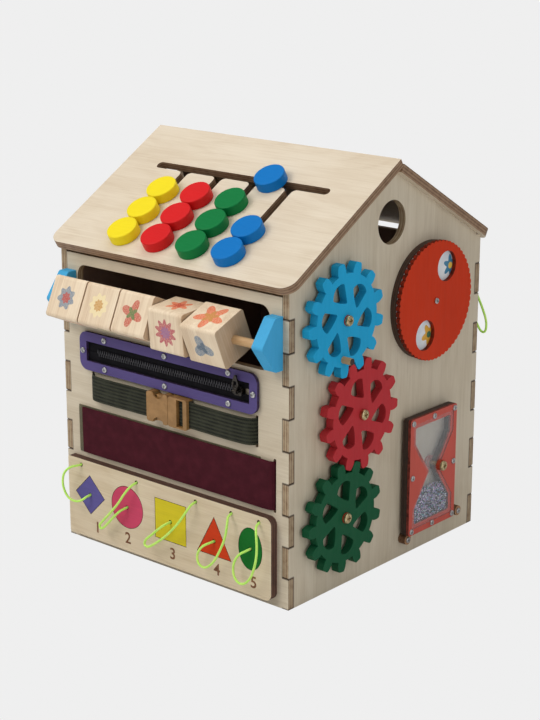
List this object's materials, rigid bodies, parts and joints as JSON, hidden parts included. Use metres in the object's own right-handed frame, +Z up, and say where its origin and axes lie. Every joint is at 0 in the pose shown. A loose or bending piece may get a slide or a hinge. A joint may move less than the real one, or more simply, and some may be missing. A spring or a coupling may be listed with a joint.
{
  "type": "wooden busy board house",
  "caption": "House-shaped wooden busy board with roof sliders, turning cubes, gears, a spinner, an hourglass, a zipper, a buckle, a peel strip and lacing shapes.",
  "frame": {"origin": "middle of the house's base, on the ground", "axes": "+Z up to the roof ridge; -Y is the front wall with the cubes and the lacing panel; +X is the side wall with the gears; the ridge runs along X"},
  "size_m": [0.3144, 0.3423, 0.3914],
  "materials": {
    "wall_wood": "sanded plywood",
    "roof_wood": "sanded plywood",
    "pale_wood": "sanded wood",
    "dark_wood": "charred plywood edge",
    "reddish_wood": "painted plywood",
    "red_wood": "painted plywood",
    "wheel_wood": "painted plywood",
    "blue_wood": "painted plywood",
    "green_wood": "painted plywood",
    "light_blue_wood": "painted wood",
    "violet_wood": "painted plywood",
    "pink_wood": "painted plywood",
    "yellow_wood": "painted plywood",
    "orange_wood": "painted plywood",
    "leaf_wood": "painted plywood",
    "knob_yellow": "painted wood",
    "knob_red": "painted wood",
    "knob_green": "painted wood",
    "knob_blue": "painted wood",
    "white_board": "printed board",
    "clear_pane": "clear acrylic",
    "beads": "glitter beads",
    "brass": "plated screws",
    "steel": "plated screws",
    "gunmetal": "cast zipper metal",
    "tape": "woven tape with moulded teeth",
    "webbing": "woven webbing",
    "tan_plastic": "moulded plastic",
    "olive_fabric": "hook tape",
    "maroon_fabric": "loop tape",
    "lime_cord": "braided elastic cord"
  },
  "bodies": {
    "house": {"front_wall": "wall_wood", "back_wall": "wall_wood", "left_wall": "wall_wood", "right_wall": "wall_wood", "floor_panel": "wall_wood", "roof_front": "roof_wood", "roof_back": "roof_wood", "roof_battens": "pale_wood", "cube_dowel": "pale_wood", "cube_brackets": "light_blue_wood", "axle_screws": "brass", "axle_spacers": "red_wood", "spinner_picture": "white_board", "spinner_backing": "dark_wood", "hourglass_stops": "wheel_wood", "panel_screws": "steel", "zipper_frame": "violet_wood", "zipper_tapes": "tape", "strap_left": "webbing", "strap_right": "webbing", "buckle_socket": "tan_plastic", "touch_base": "olive_fabric", "lacing_panel": "pale_wood", "lime_cords": "lime_cord"},
    "blue_gear": {"gear_blue": "blue_wood", "gear_peg": "pale_wood"},
    "red_gear": {"gear_red": "red_wood"},
    "green_gear": {"gear_green": "green_wood"},
    "spinner": {"spinner_wheel": "wheel_wood"},
    "hourglass": {"hourglass_frame": "dark_wood", "hourglass_front": "reddish_wood", "hourglass_panes": "clear_pane", "hourglass_beads": "beads", "hourglass_screws": "brass"},
    "zip_runner": {"zipper_slider": "gunmetal"},
    "zip_tab": {"zipper_pull": "gunmetal"},
    "buckle_tongue": {"buckle_plug": "tan_plastic"},
    "flap": {"touch_flap": "maroon_fabric"},
    "slider_yellow_1_body": {"slider_yellow_1": "knob_yellow"},
    "slider_yellow_2_body": {"slider_yellow_2": "knob_yellow"},
    "slider_yellow_3_body": {"slider_yellow_3": "knob_yellow"},
    "slider_red_1_body": {"slider_red_1": "knob_red"},
    "slider_red_2_body": {"slider_red_2": "knob_red"},
    "slider_red_3_body": {"slider_red_3": "knob_red"},
    "slider_green_1_body": {"slider_green_1": "knob_green"},
    "slider_green_2_body": {"slider_green_2": "knob_green"},
    "slider_green_3_body": {"slider_green_3": "knob_green"},
    "slider_blue_1_body": {"slider_blue_1": "knob_blue"},
    "slider_blue_2_body": {"slider_blue_2": "knob_blue"},
    "slider_blue_3_body": {"slider_blue_3": "knob_blue"},
    "cube_1_body": {"cube_1": "pale_wood"},
    "cube_2_body": {"cube_2": "pale_wood"},
    "cube_3_body": {"cube_3": "pale_wood"},
    "cube_4_body": {"cube_4": "pale_wood"},
    "cube_5_body": {"cube_5": "pale_wood"},
    "insert_diamond_body": {"insert_diamond": "violet_wood"},
    "insert_circle_body": {"insert_circle": "pink_wood"},
    "insert_square_body": {"insert_square": "yellow_wood"},
    "insert_triangle_body": {"insert_triangle": "orange_wood"},
    "insert_oval_body": {"insert_oval": "leaf_wood"}
  },
  "joints": [
    {"name": "slider_yellow_1_slide", "type": "slide", "parent": "house", "child": "slider_yellow_1_body", "axis": [0, 0.8616, 0.5075], "range_m": [0, 0.038]},
    {"name": "slider_yellow_2_slide", "type": "slide", "parent": "house", "child": "slider_yellow_2_body", "axis": [0, 0.8616, 0.5075], "range_m": [0, 0.038]},
    {"name": "slider_yellow_3_slide", "type": "slide", "parent": "house", "child": "slider_yellow_3_body", "axis": [0, 0.8616, 0.5075], "range_m": [0, 0.038]},
    {"name": "slider_red_1_slide", "type": "slide", "parent": "house", "child": "slider_red_1_body", "axis": [0, 0.8616, 0.5075], "range_m": [0, 0.038]},
    {"name": "slider_red_2_slide", "type": "slide", "parent": "house", "child": "slider_red_2_body", "axis": [0, 0.8616, 0.5075], "range_m": [0, 0.038]},
    {"name": "slider_red_3_slide", "type": "slide", "parent": "house", "child": "slider_red_3_body", "axis": [0, 0.8616, 0.5075], "range_m": [0, 0.038]},
    {"name": "slider_green_1_slide", "type": "slide", "parent": "house", "child": "slider_green_1_body", "axis": [0, 0.8616, 0.5075], "range_m": [0, 0.0142]},
    {"name": "slider_green_2_slide", "type": "slide", "parent": "house", "child": "slider_green_2_body", "axis": [0, 0.8616, 0.5075], "range_m": [0, 0.0142]},
    {"name": "slider_green_3_slide", "type": "slide", "parent": "house", "child": "slider_green_3_body", "axis": [0, 0.8616, 0.5075], "range_m": [0, 0.0142]},
    {"name": "slider_blue_1_slide", "type": "slide", "parent": "house", "child": "slider_blue_1_body", "axis": [0, 0.8616, 0.5075], "range_m": [0, 0.049]},
    {"name": "slider_blue_2_slide", "type": "slide", "parent": "house", "child": "slider_blue_2_body", "axis": [0, 0.8616, 0.5075], "range_m": [0, 0.049]},
    {"name": "slider_blue_3_slide", "type": "slide", "parent": "house", "child": "slider_blue_3_body", "axis": [1, 0, 0], "range_m": [-0.1423, 0.063]},
    {"name": "cube_1_spin", "type": "hinge", "parent": "house", "child": "cube_1_body", "pos_m": [0, -0.1609, 0.2485], "axis": [1, 0, 0], "continuous": true},
    {"name": "cube_2_spin", "type": "hinge", "parent": "house", "child": "cube_2_body", "pos_m": [0, -0.1609, 0.2485], "axis": [1, 0, 0], "continuous": true},
    {"name": "cube_3_spin", "type": "hinge", "parent": "house", "child": "cube_3_body", "pos_m": [0, -0.1609, 0.2485], "axis": [1, 0, 0], "continuous": true},
    {"name": "cube_4_spin", "type": "hinge", "parent": "house", "child": "cube_4_body", "pos_m": [0, -0.1609, 0.2485], "axis": [1, 0, 0], "continuous": true},
    {"name": "cube_5_spin", "type": "hinge", "parent": "house", "child": "cube_5_body", "pos_m": [0, -0.1609, 0.2485], "axis": [1, 0, 0], "continuous": true},
    {"name": "blue_gear_spin", "type": "hinge", "parent": "house", "child": "blue_gear", "pos_m": [0.15, -0.0777, 0.259], "axis": [1, 0, 0], "continuous": true},
    {"name": "red_gear_spin", "type": "hinge", "parent": "house", "child": "red_gear", "pos_m": [0.15, -0.05345, 0.16591], "axis": [1, 0, 0], "continuous": true},
    {"name": "green_gear_spin", "type": "hinge", "parent": "house", "child": "green_gear", "pos_m": [0.15, -0.07656, 0.07252], "axis": [1, 0, 0], "continuous": true},
    {"name": "spinner_spin", "type": "hinge", "parent": "house", "child": "spinner", "pos_m": [0.15, 0.0566, 0.2505], "axis": [1, 0, 0], "continuous": true},
    {"name": "hourglass_flip", "type": "hinge", "parent": "house", "child": "hourglass", "pos_m": [0.15, 0.0665, 0.0851], "axis": [-1, 0, 0], "range_deg": [0, 180]},
    {"name": "zipper_run", "type": "slide", "parent": "house", "child": "zip_runner", "axis": [-1, 0, 0], "range_m": [0, 0.166], "deforming": ["zipper_tapes"]},
    {"name": "zipper_pull_turn", "type": "hinge", "parent": "zip_runner", "child": "zip_tab", "pos_m": [0.086, -0.1502, 0.1968], "axis": [1, 0, 0], "range_deg": [0, 168]},
    {"name": "buckle_release", "type": "slide", "parent": "house", "child": "buckle_tongue", "axis": [1, 0, 0], "range_m": [0, 0.022], "deforming": ["strap_right"]},
    {"name": "flap_peel", "type": "hinge", "parent": "house", "child": "flap", "pos_m": [0.122, -0.1472, 0.1156], "axis": [0, 0, 1], "range_deg": [0, 100]},
    {"name": "insert_diamond_lift", "type": "slide", "parent": "house", "child": "insert_diamond_body", "axis": [0, -1, 0], "range_m": [0, 0.03], "deforming": ["lime_cords"]},
    {"name": "insert_circle_lift", "type": "slide", "parent": "house", "child": "insert_circle_body", "axis": [0, -1, 0], "range_m": [0, 0.03], "deforming": ["lime_cords"]},
    {"name": "insert_square_lift", "type": "slide", "parent": "house", "child": "insert_square_body", "axis": [0, -1, 0], "range_m": [0, 0.03], "deforming": ["lime_cords"]},
    {"name": "insert_triangle_lift", "type": "slide", "parent": "house", "child": "insert_triangle_body", "axis": [0, -1, 0], "range_m": [0, 0.03], "deforming": ["lime_cords"]},
    {"name": "insert_oval_lift", "type": "slide", "parent": "house", "child": "insert_oval_body", "axis": [0, -1, 0], "range_m": [0, 0.03], "deforming": ["lime_cords"]}
  ],
  "couplings": [
    {"joint": "slider_yellow_2_slide", "follows": "slider_yellow_1_slide", "ratio": 1},
    {"joint": "slider_yellow_3_slide", "follows": "slider_yellow_1_slide", "ratio": 1},
    {"joint": "slider_red_2_slide", "follows": "slider_red_1_slide", "ratio": 1},
    {"joint": "slider_red_3_slide", "follows": "slider_red_1_slide", "ratio": 1},
    {"joint": "slider_green_2_slide", "follows": "slider_green_1_slide", "ratio": 1},
    {"joint": "slider_green_3_slide", "follows": "slider_green_1_slide", "ratio": 1},
    {"joint": "slider_blue_2_slide", "follows": "slider_blue_1_slide", "ratio": 1},
    {"joint": "red_gear_spin", "follows": "blue_gear_spin", "ratio": -1},
    {"joint": "green_gear_spin", "follows": "blue_gear_spin", "ratio": 1}
  ]
}
